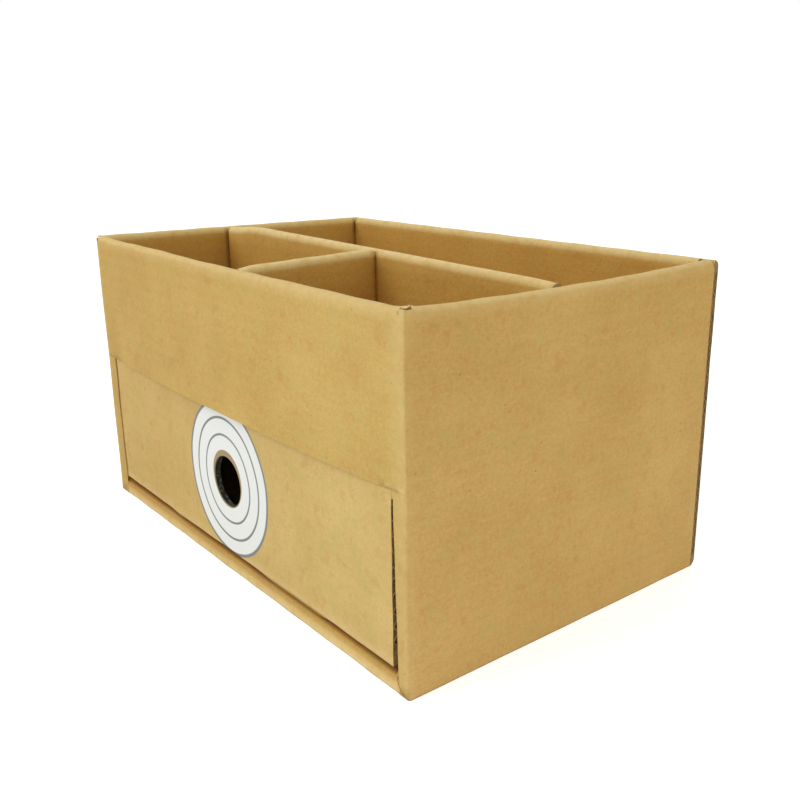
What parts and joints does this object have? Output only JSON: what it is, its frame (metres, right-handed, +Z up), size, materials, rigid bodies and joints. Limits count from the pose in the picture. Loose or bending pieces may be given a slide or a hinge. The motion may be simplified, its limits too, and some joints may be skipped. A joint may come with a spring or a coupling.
{
  "type": "corrugated storage box with drawer",
  "caption": "Open-topped corrugated cardboard desk box with rolled rims, three compartments and a pull-out drawer with a ringed finger hole.",
  "frame": {"origin": "on the table, under the middle of the box, the bow of the front panel counted in", "axes": "+X to the right along the front, +Y from the drawer's front to the back wall, +Z up"},
  "size_m": [0.2844, 0.1826, 0.1534],
  "materials": {
    "kraft_outer": "matt kraft liner",
    "kraft_inner": "matt kraft liner",
    "kraft_rolled": "matt kraft liner",
    "kraft_drawer": "matt kraft liner with a printed white disc and grey rings"
  },
  "bodies": {
    "case": {"wrap": "kraft_outer", "base": "kraft_inner", "shelf": "kraft_inner", "long_divider": "kraft_rolled", "short_divider": "kraft_rolled"},
    "tray": {"drawer": "kraft_drawer"}
  },
  "joints": [
    {"name": "drawer_slide", "type": "slide", "parent": "case", "child": "tray", "axis": [0, -1, 0], "range_m": [0, 0.14]}
  ]
}
